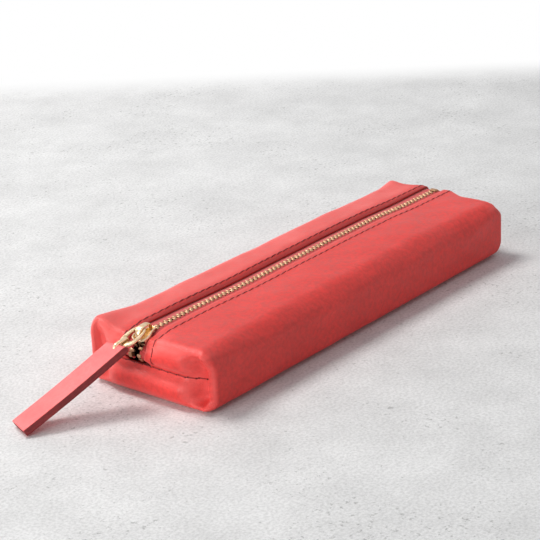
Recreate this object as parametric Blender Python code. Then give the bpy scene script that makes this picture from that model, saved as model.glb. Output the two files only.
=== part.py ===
"""A soft leather pen pouch with a metal zip along its top and a folded leather pull strip.

The pouch lies along X, with the closed end of the zip at -X. Z is up, and the origin is the middle of the
underside. Sizes are in metres.
"""

import math

import bmesh
import bpy
from mathutils import Matrix, Vector

# The leather shell
length = 0.190
width = 0.057
height = 0.024
leather = 0.0012
side_round = 0.0065
top_round = 0.0060
base_round = 0.0050
end_round = 0.0048
rim_round = 0.0030
ear_rise = 0.0018
ear_length = 0.014
ear_width = 0.012
panel_sag = 0.0008

# The boxed ends: a proud rim at each corner, a crease beside it and two lips that meet at the end seam
rim = 0.0026
crease = 0.0040
crease_depth = 0.0034
lip_reach = 0.009
groove_depth = 0.0022

# The zip opening, set a little to one side
zip_offset = 0.0048
slot = 0.0038
channel_dip = 0.0014
channel_reach = 0.012

# The zip tapes and the two rows of teeth
tape = 0.0005
tape_width = 0.0110
tape_tail = 0.0020
pitch = 0.00232
tooth = 0.00086
tooth_reach = 0.0006
rail_inside = 0.00095
row_width = 0.00145
row_height = 0.0023
row_spread = 0.0013
first_tooth = 0.0024
stop_length = 0.0020
stop_proud = 0.00012
bottom_stop_length = 0.0024
bottom_stop_from_end = 0.0045

# The slider
slider_from_end = 0.0122
slider_length = 0.0100
slider_half_width = 0.00345
slider_plate = 0.0009
slider_rim = 0.0005
slider_dish = 0.0003
back_plate_length = 0.0071
post_half_width = 0.0004
post_tip_half_width = 0.0001
post_nose = 0.0084
post_wide = 0.0067
post_tip = 0.0055
spread_start = 0.0017
spread_end = 0.0067

# The crown over the slider and the pull that hangs from it
crown_half_width = 0.00095
crown_rise = 0.0031
crown_wall = 0.0008
crown_foot = 0.0012
crown_rear = 0.0015
crown_front = 0.0092
pivot_from_tail = 0.0070
pivot_rise = 0.0014
ring_length = 0.0102
ring_half_width = 0.0033
ring_thickness = 0.0008
ring_droop_deg = 9.0
link_wire = 0.0014
link_back = 0.00195
link_reach = 0.0052
link_half_height = 0.00195
link_droop_deg = 24.0
link_slack = 0.00025

# The pull strip: one length of leather folded back on itself
strip_length = 0.0455
strip_width = 0.0102
strip_thickness = 0.0022
strip_start = 0.0029
strip_hole = 0.0026
strip_yaw_deg = 21.0

# Sewing thread
thread = 0.0003
thread_neck = 0.00013
stitch = 0.0039
zip_seam = 0.0080
seam_clear = 0.0016

gap = 0.0003
overrun = 0.0010

half_length = length / 2
slider_tail = slider_from_end - half_length
bottom_stop_end = half_length - bottom_stop_from_end
half_width = width / 2
seam_height = height / 2
zip_top = height - channel_dip
tape_top_depth = leather + gap
chain_depth = tape_top_depth + tape / 2
chain_height = zip_top - chain_depth
plate_under = chain_height + row_height / 2 + gap
plate_top = plate_under + slider_plate
pivot = Vector((slider_tail - pivot_from_tail, zip_offset, plate_top + pivot_rise))


def smooth(t):
    t = min(max(t, 0.0), 1.0)
    return t * t * (3 - 2 * t)


def mix(a, b, t):
    return a + (b - a) * t


def clamp(v, low, high):
    return min(max(v, low), high)


def channel(y):
    """How far the top panel dips towards the zip at this Y."""
    off = abs(y - zip_offset)
    return channel_dip * (1 - smooth((off - slot) / (channel_reach - slot)))


def end_recess(y, z):
    """How far the end face lies behind its rims: the corner creases, the lips and the seam groove."""
    edge = half_width - abs(y)
    level = abs(z - seam_height) / seam_height
    into = smooth((edge - rim) / (crease - rim))
    lip = smooth((edge - crease) / lip_reach)
    corner = crease_depth * into * (1 - 0.85 * lip) * (1 - 0.75 * smooth((level - 0.45) / 0.5))
    groove = groove_depth * into * (0.4 + 0.6 * lip) * (1 - smooth(level / 0.42))
    return corner + groove


def shell_point(x, y, z, depth):
    """The leather's surface above a place on the plain box, or a layer the given depth below it."""
    level = abs(z - seam_height) / seam_height
    square = smooth((level - 0.45) / 0.5)
    rx = mix(rim_round, end_round, square)
    ry = mix(rim_round, side_round, square)
    rz = top_round if z > seam_height else base_round
    core = Vector((
        clamp(x, rx - half_length, half_length - rx),
        clamp(y, ry - half_width, half_width - ry),
        clamp(z, base_round, height - top_round),
    ))
    out = Vector(((x - core.x) / rx, (y - core.y) / ry, (z - core.z) / rz)).normalized()
    upper = smooth((z - seam_height) / seam_height)
    inward = depth + channel(y) * (1 - 0.5 * out.x * out.x) * max(out.z, abs(out.x) * square * upper)
    p = core + Vector((out.x * (rx - inward), out.y * (ry - depth), out.z * (rz - inward)))
    p.x -= out.x * end_recess(y, z)
    near_end = smooth(1 - (half_length - abs(x)) / ear_length)
    near_side = smooth(1 - (half_width - abs(y)) / ear_width)
    p.z += ear_rise * near_end * near_side * upper
    away = smooth((abs(y - zip_offset) - slot) / channel_reach)
    p.z -= panel_sag * (1 - (x / half_length) ** 2) * away * max(out.z, 0.0)
    return p


def mirrored(values):
    return [-v for v in values] + [v for v in reversed(values)]


def arc_lines(face, radius):
    """Places on a box face that come out as equal steps round its rounded edge."""
    return [face, face - radius * (1 - math.tan(math.pi / 8)), face - radius]


def x_lines():
    shares = (0.90, 0.74, 0.26)
    return mirrored(arc_lines(half_length, end_round) + [half_length * s for s in shares])


def y_lines():
    edges = [0.0, rim / 2, rim, (rim + crease) / 2, crease, side_round, crease + lip_reach * 0.7]
    lines = mirrored([half_width - e for e in edges])
    for off in zip_lines():
        lines += [zip_offset - off, zip_offset + off]
    return sorted(lines)


def zip_lines():
    return [slot, mix(slot, channel_reach, 0.27), mix(slot, channel_reach, 0.58), channel_reach]


def z_lines():
    low = [0.0, base_round * (1 - math.tan(math.pi / 8)), base_round]
    high = [height - top_round, height - top_round * (1 - math.tan(math.pi / 8)), height]
    shares = (0.72, 0.88, 1.0, 1.12, 1.28)
    return low + [seam_height * s for s in shares] + high


def finish_object(name, mesh, colour, roughness, metallic, smooth_angle=40.0):
    """Gives a mesh its object, its shading and its own material."""
    material = bpy.data.materials.new(name)
    material.use_nodes = True
    shader = material.node_tree.nodes["Principled BSDF"]
    shader.inputs["Base Color"].default_value = (*colour, 1.0)
    shader.inputs["Roughness"].default_value = roughness
    shader.inputs["Metallic"].default_value = metallic
    mesh.materials.append(material)
    mesh.shade_smooth()
    mesh.set_sharp_from_angle(angle=math.radians(smooth_angle))
    obj = bpy.data.objects.new(name, mesh)
    bpy.context.scene.collection.objects.link(obj)
    return obj


def mesh_from(name, bm):
    bmesh.ops.recalc_face_normals(bm, faces=bm.faces)
    mesh = bpy.data.meshes.new(name)
    bm.to_mesh(mesh)
    bm.free()
    return mesh


red_leather = (0.66, 0.10, 0.09)
red_tape = (0.55, 0.05, 0.05)
dark_thread = (0.12, 0.02, 0.02)
brass = (0.78, 0.60, 0.30)
pale_gold = (0.85, 0.72, 0.45)


def body_panel():
    """One sheet of leather wrapped into a box, with its opening along the top and down both ends."""
    xs, ys, zs = x_lines(), y_lines(), z_lines()
    last = (len(xs) - 1, len(ys) - 1, len(zs) - 1)
    seam_line = zs.index(seam_height)
    slot_line = min(range(len(ys)), key=lambda j: abs(ys[j] - (zip_offset - slot)))
    quads = []
    for i in range(last[0]):
        for j in range(last[1]):
            quads.append([(i, j, 0), (i + 1, j, 0), (i + 1, j + 1, 0), (i, j + 1, 0)])
            if j != slot_line:
                k = last[2]
                quads.append([(i, j, k), (i + 1, j, k), (i + 1, j + 1, k), (i, j + 1, k)])
        for k in range(last[2]):
            for j in (0, last[1]):
                quads.append([(i, j, k), (i + 1, j, k), (i + 1, j, k + 1), (i, j, k + 1)])
    for j in range(last[1]):
        for k in range(last[2]):
            if j == slot_line and k >= seam_line:
                continue
            for i in (0, last[0]):
                quads.append([(i, j, k), (i, j + 1, k), (i, j + 1, k + 1), (i, j, k + 1)])
    bm = bmesh.new()
    skins = []
    for depth in (0.0, leather):
        verts = {}
        for quad in quads:
            for key in quad:
                if key not in verts:
                    i, j, k = key
                    verts[key] = bm.verts.new(shell_point(xs[i], ys[j], zs[k], depth))
        for quad in quads:
            bm.faces.new([verts[key] for key in quad])
        skins.append(verts)
    sides = {}
    for quad in quads:
        for a, b in zip(quad, quad[1:] + quad[:1]):
            edge = tuple(sorted((a, b)))
            sides[edge] = sides.get(edge, 0) + 1
    outer, inner = skins
    for (a, b), count in sides.items():
        if count == 1:
            bm.faces.new([outer[a], outer[b], inner[b], inner[a]])
    finish_object("body_panel", mesh_from("body_panel", bm), red_leather, 0.5, 0.0, 60.0)


def spread(x):
    """How far each row of teeth has moved from the middle where the slider and the open end part them."""
    from_tail = slider_tail - x
    return row_spread * clamp((from_tail - spread_start) / (spread_end - spread_start), 0.0, 1.0)


def run_places(step):
    """Places along the zip on the plain box, from the near end seam over the top to the far end seam."""
    low = seam_height + tape_tail
    count = math.ceil((height - low) / step)
    rise = [mix(low, height, n / count) for n in range(count)]
    across = math.ceil(length / step)
    places = [(-half_length, z) for z in rise]
    places += [(mix(-half_length, half_length, n / across), height) for n in range(across + 1)]
    return places + [(half_length, z) for z in reversed(rise)]


def chain_path():
    """The line of the zip chain as points with their distance from the middle of the pouch."""
    side = zip_offset + slot / 2
    points = [shell_point(x, side, z, chain_depth) for x, z in run_places(gap)]
    path = []
    travelled = 0.0
    for n, p in enumerate(points):
        if n:
            travelled += (p - points[n - 1]).length
        path.append((travelled, p))
    middle = min(path, key=lambda item: abs(item[1].x))[0]
    return [(s - middle, p) for s, p in path]


class Chain:
    """Finds a place on the zip chain from its distance along it."""

    def __init__(self):
        self.path = chain_path()
        self.start = self.path[0][0]
        self.finish = self.path[-1][0]

    def frame(self, s):
        """The point on the chain, the direction along it and the direction out of the pouch."""
        s = clamp(s, self.start, self.finish)
        n = 1
        while n < len(self.path) - 1 and self.path[n][0] < s:
            n += 1
        (s0, a), (s1, b) = self.path[n - 1], self.path[n]
        along = (b - a).normalized()
        out = Vector((-along.z, 0.0, along.x))
        return a.lerp(b, (s - s0) / (s1 - s0)), along, out

    def place(self, s, side, off, rise):
        """A point off the chain's middle line: side is +1 or -1, off is from the middle, rise is outwards."""
        p, _, out = self.frame(s)
        q = p + out * rise
        q.y = zip_offset + side * off
        return q

    def spread_at(self, s):
        return spread(self.frame(s)[0].x) if s < 0 else 0.0

    def at_x(self, x):
        """Distance along the chain of the place with this X on the top run."""
        top = [item for item in self.path if abs(item[1].z - chain_height) < gap / 2]
        return min(top, key=lambda item: abs(item[1].x - x))[0]


chain = Chain()


def zip_tape(name, side):
    """One woven tape, glued and sewn under the leather from end seam to end seam."""
    zs = z_lines()
    rise = [seam_height + tape_tail] + [z for z in zs if z > seam_height + tape_tail + gap and z < height]
    parting = [slider_tail - spread_start, slider_tail - spread_end, bottom_stop_end + gap]
    spots = sorted(x_lines() + parting)
    places = [(-half_length, z) for z in rise]
    places += [(x, height) for x in spots]
    places += [(half_length, z) for z in reversed(rise)]
    edge = row_width + gap
    columns = [edge] + [c for c in zip_lines() if c < tape_width] + [tape_width]
    bm = bmesh.new()
    rings = []
    for x, z in places:
        inner = gap / 2 if x > bottom_stop_end + 2 * gap else edge + spread(x)
        ring = []
        for depth, row in ((tape_top_depth, columns), (tape_top_depth + tape, list(reversed(columns)))):
            for column in row:
                off = inner if column == edge else column
                ring.append(bm.verts.new(shell_point(x, zip_offset + side * off, z, depth)))
        rings.append(ring)
    for a, b in zip(rings, rings[1:]):
        for n in range(len(a)):
            m = (n + 1) % len(a)
            bm.faces.new([a[n], a[m], b[m], b[n]])
    for ring in (rings[0], rings[-1]):
        half = len(ring) // 2
        for n in range(half - 1):
            bm.faces.new([ring[n], ring[n + 1], ring[-n - 2], ring[-n - 1]])
    finish_object(name, mesh_from(name, bm), red_tape, 0.9, 0.0)


def tooth_places(side):
    """Distances along the chain of one row's teeth, counted back from the bottom stop."""
    first = chain.at_x(bottom_stop_end - bottom_stop_length) - gap - tooth
    if side < 0:
        first -= pitch / 2
    places = []
    s = first
    while s > chain.start + first_tooth + stop_length:
        places.append(s)
        s -= pitch
    return list(reversed(places))


def zip_teeth(name, side):
    """One row of brass teeth, joined along the corded edge that they are clamped on."""
    bm = bmesh.new()
    rows = []
    for s in tooth_places(side):
        for end in (-1, 1):
            rows.append((s + end * tooth / 2, end))
    rings = []
    for s, end in rows:
        parted = chain.spread_at(s)
        marks = []
        for off in (-tooth_reach, rail_inside, row_width):
            pair = [bm.verts.new(chain.place(s, side, off + parted, rise * row_height / 2)) for rise in (1, -1)]
            marks.append(pair)
        rings.append((marks, end))
    for (a, end_a), (b, end_b) in zip(rings, rings[1:]):
        inside = 0 if end_a < 0 else 1
        for near in range(inside, 2):
            far = near + 1
            bm.faces.new([a[near][0], a[far][0], b[far][0], b[near][0]])
            bm.faces.new([a[near][1], a[far][1], b[far][1], b[near][1]])
        bm.faces.new([a[2][0], b[2][0], b[2][1], a[2][1]])
        bm.faces.new([a[inside][0], b[inside][0], b[inside][1], a[inside][1]])
    for marks, _ in rings:
        bm.faces.new([marks[0][0], marks[1][0], marks[1][1], marks[0][1]])
    for marks in (rings[0][0], rings[-1][0]):
        bm.faces.new([marks[1][0], marks[2][0], marks[2][1], marks[1][1]])
    finish_object(name, mesh_from(name, bm), brass, 0.3, 1.0, 30.0)


def stop_block(name, s0, s1, side, inner, outer):
    """A stop of folded brass pressed over the end of the chain."""
    bm = bmesh.new()
    rise = row_height / 2 + stop_proud
    steps = 3
    rings = []
    for n in range(steps + 1):
        s = mix(s0, s1, n / steps)
        tuck = 1.0 if 0 < n < steps else 0.8
        ring = []
        for off, up in ((inner, 0.7), (mix(inner, outer, 0.25), 1), (mix(inner, outer, 0.75), 1), (outer, 0.7)):
            ring.append(bm.verts.new(chain.place(s, side, off, rise * up * tuck)))
        for off, up in ((outer, 0.7), (mix(inner, outer, 0.75), 1), (mix(inner, outer, 0.25), 1), (inner, 0.7)):
            ring.append(bm.verts.new(chain.place(s, side, off, -rise * up * tuck)))
        rings.append(ring)
    for a, b in zip(rings, rings[1:]):
        for n in range(len(a)):
            m = (n + 1) % len(a)
            bm.faces.new([a[n], a[m], b[m], b[n]])
    bm.faces.new(rings[0])
    bm.faces.new(rings[-1])
    finish_object(name, mesh_from(name, bm), brass, 0.3, 1.0, 30.0)


def top_stop(name, side):
    last = tooth_places(side)[0] - tooth / 2 - gap
    parted = chain.spread_at(last)
    stop_block(name, last - stop_length, last, side, parted - tooth_reach / 2, parted + row_width)


def bottom_stop():
    s1 = chain.at_x(bottom_stop_end)
    stop_block("bottom_stop", s1 - bottom_stop_length, s1, 1, -row_width, row_width)


def prism(name, outline, low, high):
    """A plain solid with a flat outline, from one height to another."""
    bm = bmesh.new()
    base = [bm.verts.new((x, y, low)) for x, y in outline]
    top = [bm.verts.new((x, y, high)) for x, y in outline]
    bm.faces.new(base)
    bm.faces.new(top)
    for n in range(len(outline)):
        m = (n + 1) % len(outline)
        bm.faces.new([base[n], base[m], top[m], top[n]])
    bmesh.ops.recalc_face_normals(bm, faces=bm.faces)
    return bm


def helper(name, bm):
    """An object that only cuts or joins another one."""
    mesh = bpy.data.meshes.new(name)
    bm.to_mesh(mesh)
    bm.free()
    obj = bpy.data.objects.new(name, mesh)
    bpy.context.scene.collection.objects.link(obj)
    obj.hide_render = True
    obj.display_type = "WIRE"
    return obj


def combine(obj, other, operation):
    step = obj.modifiers.new(operation.lower(), "BOOLEAN")
    step.operation = operation
    step.solver = "EXACT"
    step.object = other


# Half outline of the slider from its tail to its nose, as shares of its length and half width
slider_shares = (
    (0.00, 0.40), (0.04, 0.60), (0.14, 0.68), (0.30, 0.76), (0.48, 0.92),
    (0.62, 1.00), (0.86, 1.00), (0.95, 0.86), (1.00, 0.50),
)


def slider_outline(reach):
    """The slider's outline from above, cut off square at this distance from the tail."""
    half = []
    for n, (u, w) in enumerate(slider_shares):
        if u * slider_length > reach:
            u0, w0 = slider_shares[n - 1]
            cut = reach / slider_length
            half.append((cut, mix(w0, w, (cut - u0) / (u - u0))))
            break
        half.append((u, w))
    points = [(slider_tail - u * slider_length, w * slider_half_width) for u, w in half]
    left = [(x, zip_offset + w) for x, w in points]
    right = [(x, zip_offset - w) for x, w in reversed(points)]
    return left + right


def passage_outline():
    """The way through the slider that the two rows of teeth take."""
    clear = row_width + gap
    marks = [(-overrun, clear), (spread_start, clear), (spread_end, clear + row_spread)]
    marks.append((slider_length + overrun, clear + row_spread))
    points = [(slider_tail - u, w) for u, w in marks]
    left = [(x, zip_offset + w) for x, w in points]
    right = [(x, zip_offset - w) for x, w in reversed(points)]
    return left + right


def slider_body():
    """A cast slider: a dished top plate, a back plate inside the pouch and the wedge that joins them."""
    tape_over = chain_height + tape / 2
    tape_under = chain_height - tape / 2
    plate_over = chain_height - row_height / 2 - gap
    bm = prism("slider_body", slider_outline(slider_length), tape_over + gap, plate_top)
    top = max(bm.faces, key=lambda f: f.calc_center_median().z)
    bmesh.ops.inset_region(bm, faces=[top], thickness=slider_rim)
    bmesh.ops.translate(bm, verts=top.verts, vec=(0.0, 0.0, -slider_dish))
    plate = finish_object("slider_body", mesh_from("slider_body", bm), pale_gold, 0.25, 1.0, 35.0)
    way = passage_outline()
    combine(plate, helper("top_passage_cut", prism("cut", way, tape_over, plate_under)), "DIFFERENCE")
    back = prism("back", slider_outline(back_plate_length), plate_over - slider_plate, tape_under - gap)
    back_plate = helper("back_plate_join", back)
    combine(back_plate, helper("back_passage_cut", prism("cut", way, plate_over, tape_under)), "DIFFERENCE")
    marks = ((post_tip, post_tip_half_width), (post_wide, post_half_width), (post_nose, post_half_width))
    points = [(slider_tail - u, w) for u, w in marks]
    wedge = [(x, zip_offset + w) for x, w in points] + [(x, zip_offset - w) for x, w in reversed(points)]
    post = prism("post", wedge, plate_over - slider_plate / 2, plate_top - slider_dish - slider_plate / 4)
    post_join = helper("post_join", post)
    combine(back_plate, post_join, "UNION")
    combine(plate, back_plate, "UNION")


def slider_crown():
    """The bridge over the slider that holds the pull."""
    foot = plate_top - slider_dish + gap
    ceiling = plate_top + crown_rise - crown_wall
    rear = slider_tail - crown_rear
    front = slider_tail - crown_front
    top = plate_top + crown_rise
    shoulder = crown_wall
    outline = [
        (rear, foot), (rear, mix(foot, top, 0.6)), (rear - shoulder, mix(foot, top, 0.9)),
        (mix(rear, front, 0.35), top), (mix(rear, front, 0.8), top),
        (front + shoulder / 2, mix(foot, top, 0.9)), (front, mix(foot, top, 0.6)), (front, foot),
        (front + crown_foot, foot), (front + crown_foot, ceiling),
        (rear - crown_foot, ceiling), (rear - crown_foot, foot),
    ]
    bm = bmesh.new()
    walls = []
    for side in (-1, 1):
        walls.append([bm.verts.new((x, zip_offset + side * crown_half_width, z)) for x, z in outline])
    for wall in walls:
        bm.faces.new(wall)
    for n in range(len(outline)):
        m = (n + 1) % len(outline)
        bm.faces.new([walls[0][n], walls[0][m], walls[1][m], walls[1][n]])
    finish_object("slider_crown", mesh_from("slider_crown", bm), pale_gold, 0.2, 1.0, 35.0)


# Half outlines of the pull ring from its bar to its foot, as shares of its length and half width
ring_outer_shares = (
    (-0.065, 0.00), (-0.065, 0.48), (0.00, 0.62), (0.14, 0.68), (0.40, 0.77),
    (0.65, 0.93), (0.81, 1.00), (0.94, 0.92), (1.03, 0.66), (1.08, 0.30), (1.085, 0.00),
)
ring_inner_shares = (
    (0.065, 0.00), (0.065, 0.30), (0.10, 0.40), (0.22, 0.43), (0.40, 0.50),
    (0.60, 0.64), (0.72, 0.70), (0.80, 0.66), (0.86, 0.50), (0.895, 0.26), (0.905, 0.00),
)


def closed_outline(shares, long_size, half_size):
    points = [(u * long_size, w * half_size) for u, w in shares]
    return points + [(u, -w) for u, w in reversed(points[1:-1])]


def droop(degrees):
    """Direction of a pull part that points off the closed end and hangs by this angle."""
    angle = math.radians(degrees)
    return Vector((-math.cos(angle), 0.0, -math.sin(angle)))


def pull_ring():
    """A flat pear-shaped ring whose narrow bar lies under the crown."""
    along = droop(ring_droop_deg)
    across = Vector((0.0, 1.0, 0.0))
    up = across.cross(along).normalized()
    up = up if up.z > 0 else -up
    outer = closed_outline(ring_outer_shares, ring_length, ring_half_width)
    inner = closed_outline(ring_inner_shares, ring_length, ring_half_width)
    bm = bmesh.new()
    loops = {}
    for name, outline in (("outer", outer), ("inner", inner)):
        for level in (-1, 1):
            verts = []
            for u, w in outline:
                verts.append(bm.verts.new(along * u + across * w + up * (level * ring_thickness / 2)))
            loops[name, level] = verts
    count = len(outer)
    for n in range(count):
        m = (n + 1) % count
        for level in (-1, 1):
            bm.faces.new([loops["outer", level][n], loops["outer", level][m],
                          loops["inner", level][m], loops["inner", level][n]])
        for name in ("outer", "inner"):
            bm.faces.new([loops[name, -1][n], loops[name, -1][m], loops[name, 1][m], loops[name, 1][n]])
    ring = finish_object("pull_ring", mesh_from("pull_ring", bm), pale_gold, 0.25, 1.0, 35.0)
    ring.location = pivot
    return ring


def ring_foot():
    """Middle of the ring's lower bar, where the link hangs."""
    return pivot + droop(ring_droop_deg) * ring_length


def link_axes():
    along = droop(link_droop_deg)
    up = Vector((along.z, 0.0, -along.x))
    return along, up


def hole_centre():
    """Where the link passes through the strip."""
    along, _ = link_axes()
    return ring_foot() + along * (link_reach - link_slack)


def sweep(points, radii, sides, ups, closed=False):
    """A tube through points, round or faceted, whose flat ends are filled unless it is closed."""
    bm = bmesh.new()
    rings = []
    count = len(points)
    for n, p in enumerate(points):
        before = points[n - 1] if n or closed else p
        after = points[(n + 1) % count] if n < count - 1 or closed else p
        along = (after - before).normalized()
        across = along.cross(ups[n]).normalized()
        up = across.cross(along)
        ring = []
        for k in range(sides):
            angle = 2 * math.pi * (k + 0.5) / sides
            ring.append(bm.verts.new(p + (across * math.cos(angle) + up * math.sin(angle)) * radii[n]))
        rings.append(ring)
    pairs = list(zip(rings, rings[1:]))
    if closed:
        pairs.append((rings[-1], rings[0]))
    for a, b in pairs:
        for n in range(sides):
            m = (n + 1) % sides
            bm.faces.new([a[n], a[m], b[m], b[n]])
    if not closed:
        bm.faces.new(rings[0])
        bm.faces.new(rings[-1])
    return bm


def pull_link():
    """A closed wire link through the ring's lower bar and the hole in the strip."""
    along, up = link_axes()
    corner = link_half_height
    points = []
    steps = 4
    for end, turn in ((link_reach, 0.0), (-link_back, math.pi)):
        centre_u = end - math.copysign(corner, end)
        squash = 1.0
        for n in range(-steps, steps + 1):
            angle = turn + math.pi / 2 * n / steps
            u = centre_u + corner * math.cos(angle) * squash
            points.append(along * u + up * (corner * math.sin(angle)))
    ups = [Vector((0.0, 1.0, 0.0))] * len(points)
    bm = sweep(points, [link_wire / 2] * len(points), 8, ups, closed=True)
    link = finish_object("pull_link", mesh_from("pull_link", bm), pale_gold, 0.25, 1.0, 50.0)
    link.location = ring_foot()
    return link


def strip_pitch():
    """The angle at which the straight strip hangs from the link to rest its tip on the table."""
    ahead = strip_length - (link_reach - link_slack - strip_start)
    low, high = 0.0, math.pi / 2
    for _ in range(40):
        pitch = (low + high) / 2
        if hole_centre().z - ahead * math.sin(pitch) - strip_thickness / 2 * math.cos(pitch) > gap:
            low = pitch
        else:
            high = pitch
    return pitch


def pull_strip():
    """Leather folded over and glued to itself, pierced near the fold for the link."""
    yaw = math.radians(strip_yaw_deg)
    pitch = strip_pitch()
    level = Vector((-math.cos(yaw), math.sin(yaw), 0.0))
    across = Vector((math.sin(yaw), math.cos(yaw), 0.0))
    ahead = level * math.cos(pitch) - Vector((0.0, 0.0, math.sin(pitch)))
    out = level * math.sin(pitch) + Vector((0.0, 0.0, math.cos(pitch)))
    half = strip_thickness / 2
    start = hole_centre() - ahead * (link_reach - link_slack - strip_start)
    turn = [math.pi / 2 * k / 4 for k in range(-4, 5)]
    outline = [start + (out * math.sin(t) - ahead * math.cos(t)) * half for t in turn]
    tip = start + ahead * strip_length
    outline += [tip + out * half, tip - out * half]
    bm = bmesh.new()
    walls = []
    for side in (-1, 1):
        walls.append([bm.verts.new(p + across * (side * strip_width / 2)) for p in outline])
    for wall in walls:
        bm.faces.new(wall)
    for n in range(len(outline)):
        m = (n + 1) % len(outline)
        bm.faces.new([walls[0][n], walls[0][m], walls[1][m], walls[1][n]])
    strip = finish_object("pull_strip", mesh_from("pull_strip", bm), red_leather, 0.5, 0.0, 40.0)
    cutter_mesh = bmesh.new()
    bmesh.ops.create_cone(
        cutter_mesh, cap_ends=True, segments=16, radius1=strip_hole / 2, radius2=strip_hole / 2,
        depth=strip_thickness + 2 * overrun,
    )
    cutter = helper("strip_hole_cut", cutter_mesh)
    cutter.rotation_euler = out.to_track_quat("Z", "Y").to_euler()
    cutter.location = hole_centre()
    combine(strip, cutter, "DIFFERENCE")
    return strip


def thread_line(name, points, ups):
    """Lock stitches along a line: full in the middle of each stitch and narrow where it enters the leather."""
    radii = [thread_neck if n % 2 == 0 else thread for n in range(len(points))]
    bm = sweep(points, radii, 4, ups)
    finish_object(name, mesh_from(name, bm), dark_thread, 0.7, 0.0, 60.0)


def zip_stitching(name, side):
    """The row that holds one edge of the leather to its tape, from end seam to end seam."""
    y = zip_offset + side * zip_seam
    raised = -(gap + thread)
    low = seam_height + seam_clear
    places = run_places(gap)
    surface = [(shell_point(x, y, z, 0.0), shell_point(x, y, z, raised)) for x, z in places if z >= low]
    travelled = [0.0]
    for (a, _), (b, _) in zip(surface, surface[1:]):
        travelled.append(travelled[-1] + (b - a).length)
    count = round(travelled[-1] / stitch)
    points, ups = [], []
    n = 0
    for k in range(2 * count + 1):
        goal = travelled[-1] * k / (2 * count)
        while n < len(travelled) - 2 and travelled[n + 1] < goal:
            n += 1
        share = (goal - travelled[n]) / (travelled[n + 1] - travelled[n])
        top = surface[n][1].lerp(surface[n + 1][1], share)
        points.append(top)
        ups.append((surface[n][1] - surface[n][0]).normalized())
    thread_line(name, points, ups)


def end_stitching(name, end):
    """The seam that closes one end at half its height, along the groove between the two lips."""
    reach = half_width - crease - seam_clear
    count = round(2 * reach / stitch)
    points = []
    for k in range(2 * count + 1):
        y = mix(-reach, reach, k / (2 * count))
        points.append(shell_point(end * half_length, y, seam_height, -(gap + thread)))
    thread_line(name, points, [Vector((end, 0.0, 0.0))] * len(points))


def corner_stitching(name, end, side):
    """The upright seam inside one boxed corner."""
    low = base_round
    high = height - top_round
    count = round((high - low) / stitch)
    points = []
    for k in range(2 * count + 1):
        z = mix(low, high, k / (2 * count))
        y = side * (half_width - crease - leather)
        points.append(shell_point(end * half_length, y, z, leather + gap + thread))
    thread_line(name, points, [Vector((-end, 0.0, 0.0))] * len(points))


def build():
    for obj in list(bpy.data.objects):
        bpy.data.objects.remove(obj, do_unlink=True)
    body_panel()
    for word, side in (("left", 1), ("right", -1)):
        zip_tape(f"zip_tape_{word}", side)
        zip_teeth(f"zip_teeth_{word}", side)
        top_stop(f"top_stop_{word}", side)
        zip_stitching(f"zip_stitching_{word}", side)
    bottom_stop()
    slider_body()
    slider_crown()
    pull_ring()
    pull_link()
    pull_strip()
    for word, end in (("near", -1), ("far", 1)):
        end_stitching(f"{word}_end_stitching", end)
        for hand, side in (("left", 1), ("right", -1)):
            corner_stitching(f"{word}_{hand}_corner_stitching", end, side)


build()
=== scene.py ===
"""A soft red leather pen pouch lying on a pale table, with a brass zip and a folded leather pull strip.

The pouch lies along X with the slider at -X. Z is up, and the origin is the middle of the underside.
Sizes are in metres.
"""

import math

import bpy
import numpy as np
from mathutils import Matrix, Vector


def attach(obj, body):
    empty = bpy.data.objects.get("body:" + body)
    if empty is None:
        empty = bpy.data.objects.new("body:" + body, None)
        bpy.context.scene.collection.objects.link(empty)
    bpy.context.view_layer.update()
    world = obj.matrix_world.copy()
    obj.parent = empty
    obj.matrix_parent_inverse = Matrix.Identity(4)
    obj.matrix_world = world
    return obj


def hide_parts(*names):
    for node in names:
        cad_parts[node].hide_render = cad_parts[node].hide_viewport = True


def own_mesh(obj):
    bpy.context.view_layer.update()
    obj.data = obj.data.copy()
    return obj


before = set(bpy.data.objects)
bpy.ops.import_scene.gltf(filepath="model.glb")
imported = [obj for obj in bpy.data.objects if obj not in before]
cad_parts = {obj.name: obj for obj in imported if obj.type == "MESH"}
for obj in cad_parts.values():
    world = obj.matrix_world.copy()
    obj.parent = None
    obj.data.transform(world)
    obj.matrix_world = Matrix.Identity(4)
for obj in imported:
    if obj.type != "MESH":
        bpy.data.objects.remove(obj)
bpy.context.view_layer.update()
bpy.context.scene.view_settings.view_transform = "Standard"


# Camera
# It stands off the slider's end, a little to the long side, and looks down on the pouch through a long lens.
# Its place was found by fitting the pouch's own edges, seams and corners to the photograph.
camera_azimuth = math.radians(-50.38)
camera_elevation = math.radians(21.25)
camera_roll = math.radians(2.497)
camera_lens_mm = 123.56
pouch_in_view = Vector((0.01574, -0.01710, -0.72716))

level_right = Vector((math.cos(camera_azimuth), math.sin(camera_azimuth), 0.0))
to_camera = Vector((
    math.sin(camera_azimuth) * math.cos(camera_elevation),
    -math.cos(camera_azimuth) * math.cos(camera_elevation),
    math.sin(camera_elevation),
))
level_up = to_camera.cross(level_right)
view_right = level_right * math.cos(camera_roll) - level_up * math.sin(camera_roll)
view_up = level_right * math.sin(camera_roll) + level_up * math.cos(camera_roll)
view_axes = Matrix((view_right, view_up, to_camera)).transposed()


def placed(name, data):
    """Puts a new object in the scene."""
    made = bpy.data.objects.new(name, data)
    bpy.context.scene.collection.objects.link(made)
    return made


camera = placed("camera", bpy.data.cameras.new("camera"))
camera.data.lens = camera_lens_mm
camera.data.clip_start = 0.01
camera.matrix_world = Matrix.Translation(view_axes @ -pouch_in_view) @ view_axes.to_4x4()
bpy.context.scene.camera = camera


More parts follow.
